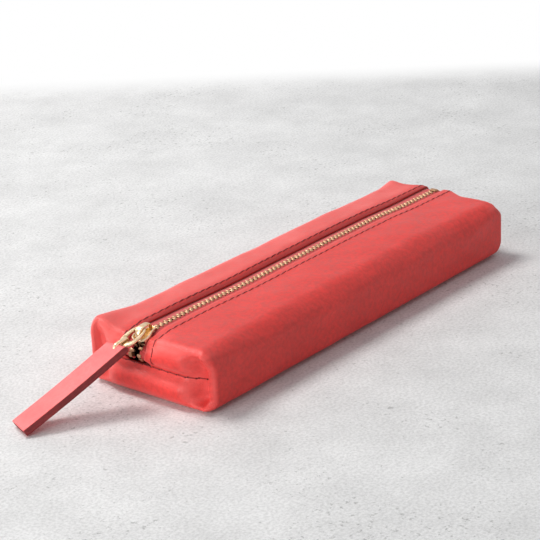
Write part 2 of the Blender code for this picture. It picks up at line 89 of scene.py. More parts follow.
# Table and light
# A pale, faintly mottled concrete table top that ends well behind the pouch, with white beyond it.
# A broad lamp hangs high on the left, with a window beyond it, a pale wall at the slider's end and a low,
# weak lamp on the right.
def wire(tree, made, **inputs):
    """Sets a node's inputs, by name or by number after an underscore. A value that is a socket is linked."""
    for name, value in inputs.items():
        socket = made.inputs[int(name[1:]) if name[0] == "_" else name.replace("_", " ")]
        if isinstance(value, bpy.types.NodeSocket):
            tree.links.new(value, socket)
        else:
            socket.default_value = value


def node(tree, kind, settings=(), out=0, **inputs):
    """Adds a shader node with its settings and its inputs, and gives one of its outputs."""
    made = tree.nodes.new("ShaderNode" + kind)
    for name, value in dict(settings).items():
        setattr(made, name, value)
    wire(tree, made, **inputs)
    return made.outputs[out]


def new_finish(name, colour, roughness, metallic=0.0):
    """A material, its node tree and its shader, with the values that are the same all over it."""
    finish = bpy.data.materials.new(name)
    finish.use_nodes = True
    tree = finish.node_tree
    shader = tree.nodes["Principled BSDF"]
    wire(tree, shader, Base_Color=(*colour, 1.0), Roughness=roughness, Metallic=metallic)
    return finish, tree, shader


def ramp(tree, value, *stops):
    """A colour ramp from pairs of position and colour."""
    shade = node(tree, "ValToRGB", Fac=value)
    elements = shade.node.color_ramp.elements
    while len(elements) < len(stops):
        elements.new(0.5)
    for element, (position, colour) in zip(elements, stops):
        element.position = position
        element.color = (*colour, 1.0)
    return shade


def multiplied(tree, first, second, share=1.0):
    """One colour multiplied by another, as far as the share says."""
    return node(tree, "Mix", dict(data_type="RGBA", blend_type="MULTIPLY"), 2, _0=share, _6=first, _7=second)


def seen_by(tree, *kinds):
    """One for the rays of these kinds and nothing for the others."""
    rays = tree.nodes.new("ShaderNodeLightPath").outputs
    seen = rays[kinds[0]]
    for kind in kinds[1:]:
        seen = node(tree, "Math", dict(operation="MAXIMUM"), _0=seen, _1=rays[kind])
    return seen


def grey(value):
    return (value, value, value)


def mesh_object(name, points, faces, finishes, face_finish=None):
    """An object from points, faces and finishes, with the finish that each face takes."""
    mesh = bpy.data.meshes.new(name)
    mesh.from_pydata(np.asarray(points, float).reshape(-1, 3).tolist(), [], faces)
    mesh.update()
    for finish in finishes:
        mesh.materials.append(finish)
    if face_finish is not None:
        mesh.polygons.foreach_set("material_index", face_finish)
    return placed(name, mesh)


table_back = 0.367
table_reach = 3.0
table_fade = 0.05
table_grey = (0.70, 0.702, 0.708)
room_tint = (0.93, 0.96, 1.0, 1.0)
room_fill = 0.27
plain_white = (1.0, 1.0, 1.0, 1.0)

away = Vector((-to_camera.x, -to_camera.y, 0.0)).normalized()
concrete, tree, shader = new_finish("pale_table", table_grey, 0.75)
place = node(tree, "TexCoord", out="Object")
cloud = node(tree, "TexNoise", Vector=place, Scale=30.0, Detail=7.0, Roughness=0.7)
sand = node(tree, "TexNoise", Vector=place, Scale=900.0, Detail=2.0, Roughness=0.7)
speck = node(tree, "TexNoise", Vector=place, Scale=430.0, Detail=3.0, Roughness=0.7)
patch = node(tree, "TexNoise", Vector=place, Scale=22.0, Detail=2.0, Roughness=0.5)
where = node(tree, "MapRange", Value=patch, _1=0.42, _2=0.62, _3=0.0, _4=0.08)
pitted = node(tree, "Math", dict(operation="SUBTRACT"), _0=speck, _1=where)
tone = ramp(tree, cloud, (0.3, grey(0.86)), (0.7, grey(1.08)))
for layer in (
    ramp(tree, sand, (0.35, grey(0.84)), (0.62, grey(1.06))),
    ramp(tree, pitted, (0.27, grey(0.62)), (0.335, grey(1.0))),
    (*table_grey, 1.0),
):
    tone = multiplied(tree, tone, layer)
wire(tree, shader, Base_Color=tone)
# Past its back edge the table fades to white for the camera, but not for the light.
along_view = node(tree, "VectorMath", dict(operation="DOT_PRODUCT"), "Value", _0=place, _1=away)
past = node(
    tree, "MapRange", dict(interpolation_type="SMOOTHSTEP"),
    Value=along_view, _1=table_back - table_fade, _2=table_back,
)
seen = seen_by(tree, "Is Camera Ray", "Is Glossy Ray")
fading = node(tree, "Math", dict(operation="MULTIPLY"), _0=past, _1=seen)
white = node(tree, "Emission", Color=plain_white, Strength=1.0)
blended = node(tree, "MixShader", _0=fading, _1=shader.outputs[0], _2=white)
wire(tree, tree.nodes["Material Output"], Surface=blended)
table_top = mesh_object("table_top", [
    level_right * side * table_reach + away * far
    for side, far in ((-1, -table_reach), (1, -table_reach), (1, table_back), (-1, table_back))
], [(0, 1, 2, 3)], [concrete])

room = bpy.data.worlds.new("room")
room.use_nodes = True
bpy.context.scene.world = room
tree = room.node_tree
fill = tree.nodes["Background"]
wire(tree, fill, Color=room_tint, Strength=room_fill)
backdrop = node(tree, "Background", Color=plain_white, Strength=1.0)
seen = seen_by(tree, "Is Camera Ray", "Is Transmission Ray", "Is Glossy Ray")
both = node(tree, "MixShader", _0=seen, _1=fill.outputs[0], _2=backdrop)
wire(tree, tree.nodes["World Output"], Surface=both)

# Square soft lamps that face the pouch: where each hangs, how far off, its size, its watts and its tint.
for name, direction, distance, size, power, tint in (
    ("overhead_lamp", (-0.14, 0.50, 0.92), 1.2, 0.42, 10.2, (1.0, 0.98, 0.95)),
    ("window", (0.10, 0.95, 0.30), 1.6, 1.0, 6.5, (1.0, 1.0, 1.0)),
    ("pale_wall", (-1.0, 0.10, 0.27), 1.4, 0.9, 15.5, (1.0, 0.99, 0.97)),
    ("low_lamp", (0.25, -1.0, 0.10), 1.5, 0.5, 2.6, (1.0, 0.96, 0.92)),
):
    lamp = bpy.data.lights.new(name, "AREA")
    lamp.size, lamp.energy, lamp.color = size, power, tint
    holder = placed(name, lamp)
    holder.location = Vector(direction).normalized() * distance
    holder.rotation_euler = Vector(direction).to_track_quat("Z", "Y").to_euler()


# Leather shell
# One panel of soft red leather, 1.2 mm thick and unlined, wrapped round so that its long edges meet the zip.
# Each end is folded in, sewn across at half height and boxed, so that two upright rims stand proud of it.
length = 0.190
width = 0.057
height = 0.024
leather = 0.0012
side_round = 0.0065
top_round = 0.0060
base_round = 0.0050
end_round = {-1: 0.0052, 1: 0.0040}
end_round_by_zip = {-1: 0.0040, 1: 0.0024}
shoulder_reach = 0.0085
shoulder_drop = 0.0088
shoulder_sag = 0.0010
rim_round = 0.0030
skived = 0.0007
ear_length = 0.014
ear_width = 0.012
rim = 0.0026
crease = 0.0040
crease_depth = 0.0034
lip_reach = 0.009
lip_bulge = 0.0012
groove_depth = 0.0024
zip_line = 0.0052
slot_left = 0.0052
slot_right = 0.0038
margin_reach = 0.0021
margin_fall_left = 0.0010
margin_fall_right = 0.0002
end_lean = 0.0016
end_pull = {-1: 0.0018, 1: -0.0040}
seam_droop = 0.0011
mouth_spread = 0.0014
edge_roll = 0.00013
boxed_leather = 0.0004
half_length, half_width, seam_height = length / 2, width / 2, height / 2
sides = (("left", 1), ("right", -1))
ends = (("near", -1), ("far", 1))
# Each corner was boxed by hand: how far its ear stands up and its rim is drawn in, for (end, side).
ear_rise = {(-1, 1): 0.0030, (-1, -1): 0.0006, (1, 1): 0.0018, (1, -1): 0.0004}
rim_drawn = {(-1, 1): 0.0010, (-1, -1): 0.0040, (1, 1): 0.0010, (1, -1): -0.0016}
# How high the top stands along the pouch, between places that the hand has pressed in.
swell_x = (-0.096, -0.080, -0.060, -0.035, 0.000, 0.025, 0.050, 0.075, 0.096)
swell_z = (-0.00065, -0.00060, -0.00040, -0.00070, -0.00020, 0.00010, 0.00010, -0.00065, -0.00070)


def smooth(t):
    t = np.clip(t, 0.0, 1.0)
    return t * t * (3 - 2 * t)


def mix(a, b, t):
    return a + (b - a) * t


def swell(x):
    """The height of the top along the pouch, blended smoothly from place to place."""
    at = np.clip(np.searchsorted(swell_x, x) - 1, 0, len(swell_x) - 2)
    (low_x, low_z), (high_x, high_z) = (np.array((swell_x, swell_z))[:, at + step] for step in (0, 1))
    return mix(low_z, high_z, smooth((x - low_x) / (high_x - low_x)))


def slack(x, y):
    """Slow, shallow waves of leather that isn't held taut."""
    return (
        0.00016 * np.sin(x * 97 + 1.3) * np.sin(y * 161 + 0.4)
        + 0.00010 * np.sin(x * 211 - y * 133 + 2.1)
        + 0.00006 * np.sin(x * 353 + y * 401 + 0.7)
    )


def leather_point(x, y, z, depth=0.0, fallen=1.0):
    """The leather above a place on the plain box that the pouch is folded from, or a layer below its surface.

    fallen says how far the layer follows the two margins down beside the zip.
    """
    x, y, z, depth = np.broadcast_arrays(np.asarray(x, float), y, z, depth)
    level = np.abs(z - seam_height) / seam_height
    square = smooth((level - 0.45) / 0.5)
    upper = smooth((z - seam_height) / seam_height)
    over = z > seam_height
    left = y > zip_line
    off = np.abs(y - zip_line)
    edge = half_width - np.abs(y)
    inboard = half_length - np.abs(x)
    by_zip = 1 - smooth((off - 0.005) / 0.012)
    round_here, zip_round, pull = (
        np.where(x < 0, table[-1], table[1]) for table in (end_round, end_round_by_zip, end_pull)
    )

    # The box with rounded edges, softest along the long shoulder, and with its margins fallen to the zip.
    shoulder = smooth((inboard - 0.004) / 0.030) * np.where(y < 0, 1.0, 0.0)
    rx = mix(rim_round, mix(round_here, zip_round, by_zip * upper), square)
    ry = mix(rim_round, side_round, square)
    ry = mix(ry, shoulder_reach, shoulder * smooth((z - seam_height) / 0.004))
    rz = mix(top_round, shoulder_drop, shoulder * smooth((-y - 0.008) / 0.004))
    rz = np.where(over, rz, mix(0.0036, base_round, smooth((edge - 0.002) / 0.006)))
    core = np.stack((
        np.clip(x, rx - half_length, half_length - rx),
        np.clip(y, ry - half_width, half_width - ry),
        np.clip(z, rz, height - np.where(over, rz, top_round)),
    ), -1)
    radius = np.stack((rx, ry, rz), -1)
    out = (np.stack((x, y, z), -1) - core) / radius
    out /= np.maximum(np.linalg.norm(out, axis=-1, keepdims=True), 1e-9)
    fall = np.where(left, margin_fall_left * (0.30 + 0.70 * smooth(inboard / 0.045)), margin_fall_right)
    fall = fallen * fall * (1 - smooth((off - np.where(left, slot_left, slot_right)) / margin_reach))
    fall = fall * (1 - 0.5 * out[..., 0] ** 2) * np.maximum(out[..., 2], np.abs(out[..., 0]) * square * upper)
    held = np.stack((fall, np.zeros_like(fall), fall), -1)
    point = core + out * (radius - depth[..., None] - held)

    # The boxed end: a crease inside each rim, the groove of the seam, full lips and the tucks below them.
    into = smooth((edge - rim) / (crease - rim))
    lip = smooth((edge - crease) / lip_reach)
    corner = crease_depth * into * (1 - 0.85 * lip) * (1 - 0.75 * square)
    groove = groove_depth * into * (0.4 + 0.6 * lip) * (1 - smooth(level / 0.42))
    bulge = lip_bulge * into * lip * smooth(level / 0.3) * smooth((1.0 - level) / 0.5)
    tuck = 0.00022 * into * (1 - lip) * smooth(1 - np.abs(z - 0.004) / 0.004) * np.cos(y * 3900)
    point[..., 0] -= out[..., 0] * (corner + groove - bulge + tuck)

    # The ears that stand up at the corners, the rims that the seam draws in, and the mouth beside the zip.
    near_side = smooth(1 - edge / ear_width)
    ear, drawn = (
        sum(np.where((x * end > 0) & (y * side > 0), amount, 0.0) for (end, side), amount in table.items())
        for table in (ear_rise, rim_drawn)
    )
    point[..., 2] += ear * smooth(1 - inboard / np.where(ear > 0.002, 0.026, ear_length)) * near_side * upper
    waist = smooth((z - 0.0012) / 0.0050) * smooth((0.0230 - z) / 0.0065)
    gathered = waist * (1 - smooth((edge - 0.0045) / 0.008)) * smooth(1 - inboard / 0.020)
    pulled = drawn * gathered + pull * by_zip * upper * smooth(1 - inboard / 0.010)
    point[..., 0] -= np.sign(x) * pulled
    point[..., 2] -= seam_droop * gathered * np.where(x < 0, 1.0, 0.3)
    mouth = smooth((0.0235 - z) / 0.004) * smooth((z - 0.009) / 0.003) * smooth(1 - inboard / 0.006)
    point[..., 1] -= np.where(left, 0.0, mouth_spread) * mouth * (1 - smooth((off - 0.004) / 0.012))

    # What use has done: swells and slack in the top, a sagging shoulder and side, and a near end that leans.
    top = np.maximum(out[..., 2], 0.0)
    point[..., 2] += swell(x) * (1 - 0.6 * smooth((off - 0.006) / 0.018)) * over * top
    point[..., 2] += slack(x, y) * smooth((off - slot_left) / 0.010) * top
    point[..., 2] -= shoulder_sag * shoulder * smooth((-y - 0.010) / 0.0185) * upper
    lean = smooth((-0.080 - x) / 0.012) * (1 - smooth((off - 0.005) / np.where(left, 0.012, 0.008)))
    point[..., 2] -= end_lean * lean * upper
    side = np.abs(out[..., 1]) * (1 - np.abs(out[..., 2])) * smooth(inboard / 0.02)
    point[..., 1] += np.sign(y) * slack(z * 2.2 + 0.01, x) * side * 1.6
    return point


def lines(*stretches):
    """Grid lines from stretches of (start, end, step)."""
    marks = []
    for start, end, step in stretches:
        count = max(1, round(abs(end - start) / step))
        marks += [start + (end - start) * n / count for n in range(count)]
    return np.array(marks + [stretches[-1][1]])


def shade(mesh, sharp_angle=None):
    """Shades a mesh smooth, but for the edges where its faces meet at more than an angle in degrees."""
    mesh.shade_smooth()
    if sharp_angle:
        mesh.set_sharp_from_angle(angle=math.radians(sharp_angle))


def settle(piece, body, node_name):
    """Sets a piece on the body that it moves with, in place of its CAD node."""
    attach(piece, body)
    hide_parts(node_name)
    return piece


def show(name, points, faces, finishes, body, node_name, face_finish=None, sharp_angle=None):
    """Makes a piece, shades it and sets it on its body."""
    piece = mesh_object(name, points, faces, finishes, face_finish)
    shade(piece.data, sharp_angle)
    return settle(piece, body, node_name)


def leather_finish(name, colour, pale, dark, roughness=0.46, grain=0.45):
    """Dyed full-grain leather: fine pebbled grain, cloudy dye and a paler, shinier skin where it bends, with a
    paler colour as painted sheen and a darker one as painted shade where the shares mark them.
    """
    finish, tree, shader = new_finish(name, colour, roughness)
    place = node(tree, "TexCoord", out="Object")
    bend, painted_sheen, painted_shade = (
        node(tree, "Attribute", dict(attribute_name=share), "Fac") for share in ("bend", "painted_sheen", "painted_shade")
    )
    cloud = node(tree, "TexNoise", Vector=place, Scale=60.0, Detail=4.0, Roughness=0.6)
    fleck = node(tree, "TexNoise", Vector=place, Scale=560.0, Detail=3.0, Roughness=0.65)
    dyed = ramp(tree, cloud, (0.30, dark), (0.55, colour), (0.80, tuple(1.12 * part for part in colour)))
    flecked = multiplied(tree, dyed, ramp(tree, fleck, (0.35, grey(0.80)), (0.62, grey(1.08))), 0.8)
    # Paler towards the pale colour at bends, as wear, and on the panel marked for it, as painted sheen.
    wear_and_sheen = node(tree, "Math", dict(operation="MAXIMUM"), _0=bend, _1=painted_sheen)
    wear_and_sheen = node(tree, "Math", dict(operation="MULTIPLY"), _0=wear_and_sheen, _1=cloud)
    rubbed_and_sheen = node(tree, "Mix", dict(data_type="RGBA"), 2, _0=wear_and_sheen, _6=flecked, _7=(*pale, 1.0))
    # Painted shade: where marked, the colour is darkened towards a deep red.
    painted_shade_share = node(tree, "MapRange", Value=painted_shade, _3=0.0, _4=0.62)
    shaded_colour = node(tree, "Mix", dict(data_type="RGBA"), 2, _0=painted_shade_share, _6=rubbed_and_sheen, _7=(0.20, 0.010, 0.010, 1.0))
    shine = node(tree, "MapRange", Value=fleck, _1=0.3, _2=0.7, _3=roughness - 0.06, _4=roughness + 0.10)
    bent = node(tree, "MapRange", Value=bend, _3=0.0, _4=0.14)
    shine = node(tree, "Math", dict(operation="SUBTRACT"), _0=shine, _1=bent)
    pebble = node(tree, "TexVoronoi", dict(feature="DISTANCE_TO_EDGE"), "Distance", Vector=place, Scale=1500.0)
    domed = ramp(tree, pebble, (0.0, grey(0.0)), (0.35, grey(1.0)))
    pores = node(tree, "Bump", Strength=grain, Distance=0.00009, Height=domed)
    creases = node(tree, "TexNoise", Vector=place, Scale=260.0, Detail=5.0, Roughness=0.6)
    skin = node(tree, "Bump", Strength=grain * 0.8, Distance=0.0003, Height=creases, Normal=pores)
    wire(
        tree, shader, Base_Color=shaded_colour, Roughness=shine, Normal=skin,
        Specular_IOR_Level=0.28, Sheen_Weight=0.05, Sheen_Roughness=0.4,
    )
    return finish


red_leather = leather_finish("red_leather", (0.69, 0.045, 0.039), (0.80, 0.135, 0.125), (0.65, 0.042, 0.037))
flesh_side = leather_finish("flesh_side", (0.42, 0.10, 0.08), (0.50, 0.16, 0.13), (0.32, 0.06, 0.05), 0.85, 0.6)

shell_x = lines((-half_length, -0.079, 0.0006), (-0.079, 0.079, 0.0025), (0.079, half_length, 0.0007))
shell_y = np.unique(np.round(np.concatenate((
    lines((-half_width, -0.0195, 0.0006), (-0.0195, -0.0045, 0.0015), (-0.0045, zip_line - slot_right, 0.0007)),
    lines((zip_line + slot_left, 0.016, 0.0007), (0.016, 0.0195, 0.0012), (0.0195, half_width, 0.0006)),
)), 7))
shell_z = lines((0.0, 0.0075, 0.0006), (0.0075, 0.0165, 0.0005), (0.0165, height, 0.0006))
last_x, last_y, last_z = len(shell_x) - 1, len(shell_y) - 1, len(shell_z) - 1
seam_row = int(np.argmin(np.abs(shell_z - seam_height)))
slot_column = int(np.argmin(np.abs(shell_y - (zip_line - slot_right))))

shell_quads = []
for i in range(last_x):
    for j in range(last_y):
        shell_quads.append([(i, j, 0), (i, j + 1, 0), (i + 1, j + 1, 0), (i + 1, j, 0)])
        if j != slot_column:
            shell_quads.append([(i, j, last_z), (i + 1, j, last_z), (i + 1, j + 1, last_z), (i, j + 1, last_z)])
    for k in range(last_z):
        shell_quads.append([(i, 0, k), (i + 1, 0, k), (i + 1, 0, k + 1), (i, 0, k + 1)])
        shell_quads.append([(i, last_y, k), (i, last_y, k + 1), (i + 1, last_y, k + 1), (i + 1, last_y, k)])
for j in range(last_y):
    for k in range(last_z):
        if j == slot_column and k >= seam_row:
            continue
        shell_quads.append([(0, j, k), (0, j, k + 1), (0, j + 1, k + 1), (0, j + 1, k)])
        shell_quads.append([(last_x, j, k), (last_x, j + 1, k), (last_x, j + 1, k + 1), (last_x, j, k + 1)])

shell_keys = sorted({key for quad in shell_quads for key in quad})
key_row = {key: n for n, key in enumerate(shell_keys)}
grid = np.array(shell_keys)
plain = (shell_x[grid[:, 0]], shell_y[grid[:, 1]], shell_z[grid[:, 2]])
outer_skin = leather_point(*plain)
edge_off = np.abs(plain[1] - zip_line) - np.where(plain[1] > zip_line, slot_left, slot_right)
by_slot = (plain[2] > seam_height) & (np.abs(plain[1]) < 0.02)
thick = np.where(by_slot, mix(skived, leather, smooth(edge_off / 0.003)), leather)
off_corner = smooth((half_width - np.abs(plain[1]) - 0.004) / 0.004)
boxed = (1 - off_corner) * smooth(1 - (half_length - np.abs(plain[0])) / 0.008)
thick = mix(thick, boxed_leather, boxed)
inner_skin = leather_point(*plain, thick)

# The red skin outside, the flesh side inside, and a rolled edge of three faces between them.
count = len(shell_keys)
outer_faces = [[key_row[key] for key in quad] for quad in shell_quads]
shell_faces = outer_faces + [[n + count for n in reversed(face)] for face in outer_faces]
shell_finish = [0] * len(outer_faces) + [int(min(boxed[n] for n in face) <= 0.2) for face in outer_faces]
edges = dict.fromkeys(pair for face in outer_faces for pair in zip(face, face[1:] + face[:1]))
open_edges = [(a, b) for a, b in edges if (b, a) not in edges]
rim_rows = {}
edge_points = []
for n in dict.fromkeys(n for pair in open_edges for n in pair):
    lean = np.array([0.0, 1.0 if plain[1][n] < zip_line else -1.0, 0.0])
    if slot_left + 0.0001 < abs(plain[1][n] - zip_line) or plain[2][n] <= seam_height:
        lean = np.array([0.0, 0.0, 1.0])
    rim_rows[n] = [2 * count + len(edge_points) + step for step in range(2)]
    edge_points += [mix(outer_skin[n], inner_skin[n], share) + lean * edge_roll for share in (0.22, 0.78)]
for a, b in open_edges:
    path_a, path_b = ([n, *rim_rows[n], n + count] for n in (a, b))
    for step in range(3):
        shell_faces.append([path_b[step], path_a[step], path_a[step + 1], path_b[step + 1]])
        shell_finish.append(0)
shell = show(
    "leather_shell", np.concatenate((outer_skin, inner_skin, np.array(edge_points))), shell_faces,
    [red_leather, flesh_side], "pouch", "body_panel", shell_finish,
)


def mark(piece, name, values):
    """Stores a share for each point, for the finish: how far the leather bends, how much painted sheen it
    takes, and how much painted shade.
    """
    layer = piece.data.attributes.new(name, "FLOAT", "POINT")
    layer.data.foreach_set("value", np.asarray(values, np.float32))


shell.data.update()
normals = np.zeros(len(shell.data.vertices) * 3, np.float32)
shell.data.vertices.foreach_get("normal", normals)
facing = np.abs(normals.reshape(-1, 3)).max(axis=1)
skin_x, skin_y = (np.concatenate((plain[axis], plain[axis], np.zeros(len(edge_points)))) for axis in (0, 1))
easy_bend = 1 - 0.9 * smooth((half_length - np.abs(skin_x) - 0.003) / 0.008)
mark(shell, "bend", np.clip((1 - facing) / 0.30 * easy_bend, 0.0, 1.0))
# Painted sheen: the left panel is painted paler, for the sheen that it catches.
mark(shell, "painted_sheen", 1.4 * smooth((skin_y - 0.0125) / 0.004))
# Painted shade: the left margin beside the zip is painted darker, as the shade it lies in; the rolled cut edges
# are darkened half as much.
painted_shade = np.where((plain[1] > zip_line) & by_slot, 1 - smooth((edge_off - 0.0005) / 0.0016), 0.0)
mark(shell, "painted_shade", np.concatenate((painted_shade, painted_shade, np.full(len(edge_points), 0.5))))


# Zip tapes
# Two woven red tapes, glued and sewn under the leather's edges. Each has a cord woven into its inner edge,
# which the teeth are clamped on. They part where the slider has been.
tape = 0.0005
tape_width = 0.0108
tape_tail = 0.0020
cord = 0.00058
cord_off = 0.00112
chain_depth = leather + tape / 2
slider_tail = -0.0830
row_spread = 0.0013
spread_start = 0.0017
spread_end = 0.0067
splay = 0.0006
splay_reach = 0.006
closed_for = 0.0127


def zip_run(step):
    """Places along the zip on the plain box, from the near end seam over the top to the far end seam."""
    rise = lines((seam_height + tape_tail, height, step))[:-1]
    fall = lines((height, seam_height + 0.0001, step))[1:]
    across = lines((-half_length, half_length, step))
    return (
        np.concatenate((np.full(len(rise), -half_length), across, np.full(len(fall), half_length))),
        np.concatenate((rise, np.full(len(across), height), fall)),
    )


def distances(points):
    """How far along a line each of its points lies."""
    return np.concatenate(([0.0], np.cumsum(np.linalg.norm(np.diff(points, axis=0), axis=1))))


run_x, run_z = zip_run(0.0002)
run_points = leather_point(run_x, zip_line, run_z, chain_depth, 0.0)
run_length = distances(run_points)
run_length -= np.interp(0.0, run_points[:, 0], run_length)


def on_run(s):
    """The zip's middle line at a distance along it: its X, its Z and the direction out of the pouch."""
    at, ahead, behind = (
        [np.interp(s + step, run_length, run_points[:, axis]) for axis in (0, 2)]
        for step in (0.0, 0.0004, -0.0004)
    )
    dx, dz = ahead[0] - behind[0], ahead[1] - behind[1]
    size = np.hypot(dx, dz)
    return *at, -dz / size, dx / size


def zip_point(s, side, off, rise):
    """A point off the zip's middle line: off is sideways, rise is outwards."""
    x, z, out_x, out_z = on_run(s)
    return np.stack(np.broadcast_arrays(x + out_x * rise, zip_line + side * off, z + out_z * rise), -1)


def parting(s):
    """How far each row has moved from the middle: opened by the slider and splayed out after it."""
    x = on_run(s)[0]
    beyond = np.where(np.asarray(s) < 0, slider_tail - x, 0.0)
    start = np.interp(slider_tail - 0.010, run_points[:, 0], run_length)
    extra = splay * smooth((start - s) / splay_reach)
    return row_spread * np.clip((beyond - spread_start) / (spread_end - spread_start), 0.0, 1.0) + extra


def skin(rows, around, flip=False, closed=False, base=0):
    """Faces over rows of points, each row a loop, and over the two ends unless the rows close on themselves."""
    faces = []
    for a in range(rows if closed else rows - 1):
        for b in range(around):
            c, d = (b + 1) % around, (a + 1) % rows
            faces.append([a * around + b, a * around + c, d * around + c, d * around + b])
    if not closed:
        faces += [list(range(around))[::-1], [(rows - 1) * around + b for b in range(around)]]
    return [[base + n for n in (face[::-1] if flip else face)] for face in faces]


# Tightly woven polyester: fine ribs across and threads along.
woven_tape, tree, shader = new_finish("zip_tape", (0.62, 0.060, 0.058), 0.85)
place = node(tree, "TexCoord", out="Object")
ribs, threads = (
    node(
        tree, "TexWave", dict(bands_direction=way), "Fac",
        Vector=place, Scale=scale, Distortion=bent, Detail=fine,
    )
    for way, scale, bent, fine in (("X", 520.0, 1.5, 1.0), ("Y", 700.0, 1.0, 2.0))
)
woven = node(tree, "Math", dict(operation="MULTIPLY"), _0=ribs, _1=threads)
dyed = ramp(tree, woven, (0.0, (0.46, 0.036, 0.034)), (0.8, (0.74, 0.095, 0.090)))
weave = node(tree, "Bump", Strength=0.5, Distance=0.0001, Height=woven)
wire(tree, shader, Base_Color=dyed, Normal=weave, Sheen_Weight=0.2)

tape_x, tape_z = zip_run(0.0011)
tape_line = leather_point(tape_x, zip_line, tape_z, chain_depth, 0.0)
tape_s = run_length[np.argmin(np.linalg.norm(tape_line[:, None] - run_points[None], axis=2), axis=1)]
shift = parting(tape_s)
closing = smooth((tape_s - (run_length[-1] - closed_for)) / 0.0008)
edge_depth = skived + tape / 2 + 0.00028
for word, side in sides:
    rings = []
    for angle in np.linspace(-0.75 * math.pi, 0.75 * math.pi, 9):
        inner = mix(cord_off + shift, cord + 0.0001, closing) - cord * math.cos(angle)
        rings.append(zip_point(tape_s, side, inner, cord * math.sin(angle)))
    slot = slot_left if side > 0 else slot_right
    flat = ((0.0029, 0.3), (slot - 0.0004, 1.0), (slot + 0.0005, 1.0), (slot + 0.0030, 1.0), (tape_width, 1.0))
    for layer, row in ((1, flat), (-1, flat[::-1])):
        for column, fallen in row:
            under = mix(edge_depth, leather + tape / 2 + 0.00008, smooth((column - slot) / 0.003))
            under = mix(chain_depth, under, fallen) - layer * tape / 2
            rings.append(leather_point(tape_x, zip_line + side * column, tape_z, under, fallen))
    half_tape = show(
        f"tape_{word}", np.stack(rings, 1), skin(len(tape_x), len(rings), flip=side > 0), [woven_tape],
        "pouch", f"zip_tape_{word}", sharp_angle=50,
    )
    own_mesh(half_tape)


# Zip teeth
# Each tooth is stamped from brass and clamped over the cord. Its head reaches past the middle, between two
# heads of the other row, and the whole row is polished.
pitch = 0.00232
tooth = 0.00106
first_tooth = 0.0027
chain_ends_short = 0.0144
tooth_rings = ((-0.50, 0.80), (-0.36, 0.95), (-0.15, 1.0), (0.15, 1.0), (0.36, 0.95), (0.50, 0.80))
tooth_outline = np.array((
    (0.00152, 0.00028), (0.00148, 0.00070), (0.00122, 0.00095), (0.00072, 0.00102), (0.00026, 0.00098),
    (-0.00018, 0.00086), (-0.00048, 0.00058), (-0.00056, 0.00028),
))
tooth_outline = np.concatenate((tooth_outline, tooth_outline[::-1] * (1, -1)))
tooth_centre = tooth_outline.mean(axis=0)


def metal_finish(name, colour, warm, roughness):
    """Polished or plated metal with a faint tarnish, fine scratches and a slightly uneven polish."""
    finish, tree, shader = new_finish(name, colour, roughness, 1.0)
    place = node(tree, "TexCoord", out="Object")
    cloud = node(tree, "TexNoise", Vector=place, Scale=420.0, Detail=3.0, Roughness=0.6)
    tarnish = ramp(tree, cloud, (0.35, warm), (0.65, colour))
    polish = node(tree, "MapRange", Value=cloud, _1=0.3, _2=0.7, _3=roughness - 0.05, _4=roughness + 0.08)
    hair = node(tree, "TexNoise", Vector=place, Scale=2600.0, Detail=2.0)
    scratches = node(tree, "Bump", Strength=0.15, Distance=0.00004, Height=hair)
    wire(tree, shader, Base_Color=tarnish, Roughness=polish, Normal=scratches)
    return finish


tooth_brass = metal_finish("tooth_brass", (0.48, 0.29, 0.18), (0.34, 0.19, 0.105), 0.44)


def tooth_run(side):
    """Distances along the zip of one row's teeth, counted from the slider's end. The right row starts lower."""
    first = run_length[0] + first_tooth + (pitch / 2 if side > 0 else 0.0)
    total = int((run_length[-1] - run_length[0] - chain_ends_short - first_tooth) / pitch)
    return first + pitch * np.arange(total)


for word, side in sides:
    places = tooth_run(side)
    shift = parting(places)
    rings = []
    for step, grown in tooth_rings:
        for off, rise in tooth_centre + (tooth_outline - tooth_centre) * grown:
            taper = 1.0 if off > 0 else 0.86
            rings.append(zip_point(places + step * tooth * taper, side, off + shift, rise))
    faces = []
    for n in range(len(places)):
        faces += skin(len(tooth_rings), len(tooth_outline), flip=side < 0, base=n * len(rings))
    row = show(
        f"teeth_{word}", np.stack(rings, 1), faces, [tooth_brass],
        "pouch", f"zip_teeth_{word}", sharp_angle=38,
    )
    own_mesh(row)


# Zip stops
# Small brass clips pressed over the ends of the chain: one on each row at the slider's end, and one over
# both rows at the far end.
stop_length = 0.0015
bottom_stop_length = 0.0024
clip_from_tooth = 0.00073
clip_steps = ((0.0, 0.88), (0.1, 1.0), (0.5, 1.02), (0.9, 1.0), (1.0, 0.88))


def clip_solid(name, start, end, side, inner, outer, tall, node_name):
    """A folded clip: a rounded block with a slot along its outer edge where it grips the tape."""
    wall = tall / 3
    slot = tall - wall * 1.5
    upper = [
        (outer, tall * 0.75), (outer - wall * 0.5, tall), (mix(inner, outer, 0.35), tall),
        (inner + wall * 0.3, tall * 0.86), (inner, tall * 0.5),
    ]
    profile = upper + [(off, -rise) for off, rise in upper[::-1]]
    profile += [(outer, -slot), (inner + wall, -slot), (inner + wall, slot), (outer, slot)]
    middle = (inner + outer) / 2
    points = [
        zip_point(mix(start, end, t), side, middle + (off - middle) * grown, rise * grown)
        for t, grown in clip_steps for off, rise in profile
    ]
    # Each end of the block is closed in three parts: above the slot, beside it and below it.
    faces = skin(len(clip_steps), len(profile), flip=side < 0)[:-2]
    for base, turn in ((0, -side), ((len(clip_steps) - 1) * len(profile), side)):
        for cap in ((0, 1, 2, 3, 12, 13), (3, 4, 5, 6, 11, 12), (6, 7, 8, 9, 10, 11)):
            faces.append([base + n for n in cap][::turn])
    show(name, points, faces, [tooth_brass], "pouch", node_name, sharp_angle=35)


